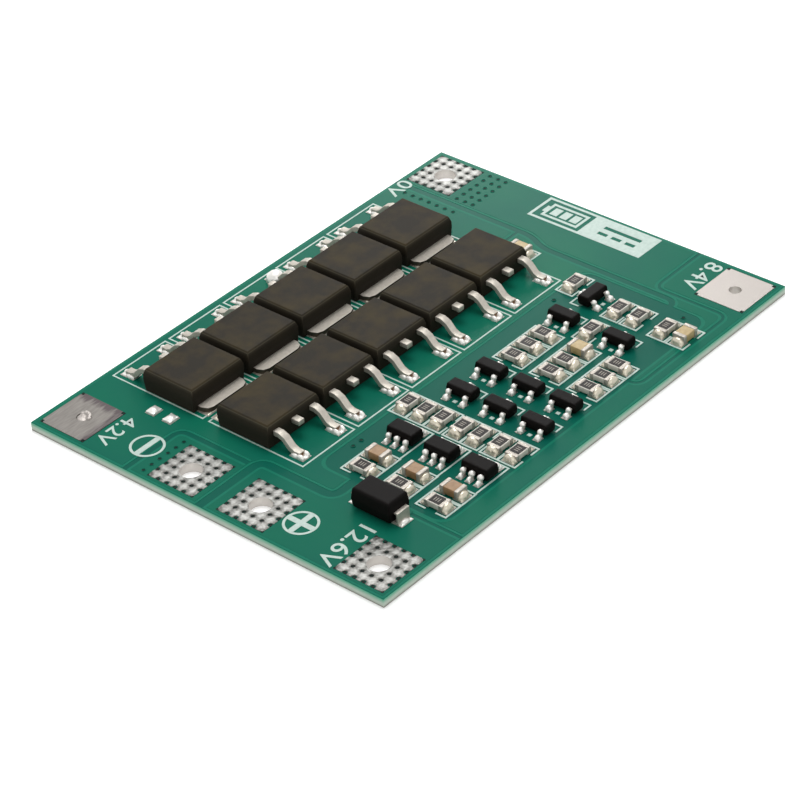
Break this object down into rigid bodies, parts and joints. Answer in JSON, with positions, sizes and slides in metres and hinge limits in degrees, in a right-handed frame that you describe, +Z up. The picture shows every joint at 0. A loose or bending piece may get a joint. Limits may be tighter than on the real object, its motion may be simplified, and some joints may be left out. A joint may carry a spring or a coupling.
{
  "type": "battery management board",
  "caption": "Small green circuit board for a lithium battery pack, with two rows of power transistors, small protection parts and plated wire lands at its ends.",
  "frame": {"origin": "middle of the board's flat underside", "axes": "+X along the board's length, from the load lands towards the zero-volt land; +Y across the board, towards the power transistors; +Z up, out of the side that carries the parts"},
  "size_m": [0.056, 0.041, 0.0032],
  "materials": {
    "board": "satin",
    "tinned_land": "satin",
    "solder": "gloss",
    "tinned_lead": "satin",
    "power_case": "matte",
    "small_case": "matte",
    "resistor_ceramic": "satin",
    "capacitor_ceramic": "satin"
  },
  "bodies": {
    "root": {"capacitor_bodies": "capacitor_ceramic", "capacitor_ends": "tinned_lead", "cell_0v_terminal": "tinned_land", "cell_12v6_terminal": "tinned_land", "cell_4v2_terminal": "tinned_land", "cell_8v4_terminal": "tinned_land", "circuit_board": "board", "diode_body": "small_case", "diode_leads": "tinned_lead", "load_minus_terminal": "tinned_land", "load_plus_terminal": "tinned_land", "mosfet_back_1_body": "power_case", "mosfet_back_1_leads": "tinned_lead", "mosfet_back_2_body": "power_case", "mosfet_back_2_leads": "tinned_lead", "mosfet_back_3_body": "power_case", "mosfet_back_3_leads": "tinned_lead", "mosfet_back_4_body": "power_case", "mosfet_back_4_leads": "tinned_lead", "mosfet_back_5_body": "power_case", "mosfet_back_5_leads": "tinned_lead", "mosfet_front_1_body": "power_case", "mosfet_front_1_leads": "tinned_lead", "mosfet_front_2_body": "power_case", "mosfet_front_2_leads": "tinned_lead", "mosfet_front_3_body": "power_case", "mosfet_front_3_leads": "tinned_lead", "mosfet_front_4_body": "power_case", "mosfet_front_4_leads": "tinned_lead", "mosfet_front_5_body": "power_case", "mosfet_front_5_leads": "tinned_lead", "protection_circuit_1_body": "small_case", "protection_circuit_1_leads": "tinned_lead", "protection_circuit_2_body": "small_case", "protection_circuit_2_leads": "tinned_lead", "protection_circuit_3_body": "small_case", "protection_circuit_3_leads": "tinned_lead", "resistor_bodies": "resistor_ceramic", "resistor_ends": "tinned_lead", "solder_joints": "solder", "solder_lands": "tinned_land", "transistor_1_body": "small_case", "transistor_1_leads": "tinned_lead", "transistor_2_body": "small_case", "transistor_2_leads": "tinned_lead", "transistor_3_body": "small_case", "transistor_3_leads": "tinned_lead", "transistor_4_body": "small_case", "transistor_4_leads": "tinned_lead", "transistor_5_body": "small_case", "transistor_5_leads": "tinned_lead", "transistor_6_body": "small_case", "transistor_6_leads": "tinned_lead", "transistor_7_body": "small_case", "transistor_7_leads": "tinned_lead", "transistor_8_body": "small_case", "transistor_8_leads": "tinned_lead", "transistor_9_body": "small_case", "transistor_9_leads": "tinned_lead"}
  },
  "joints": []
}
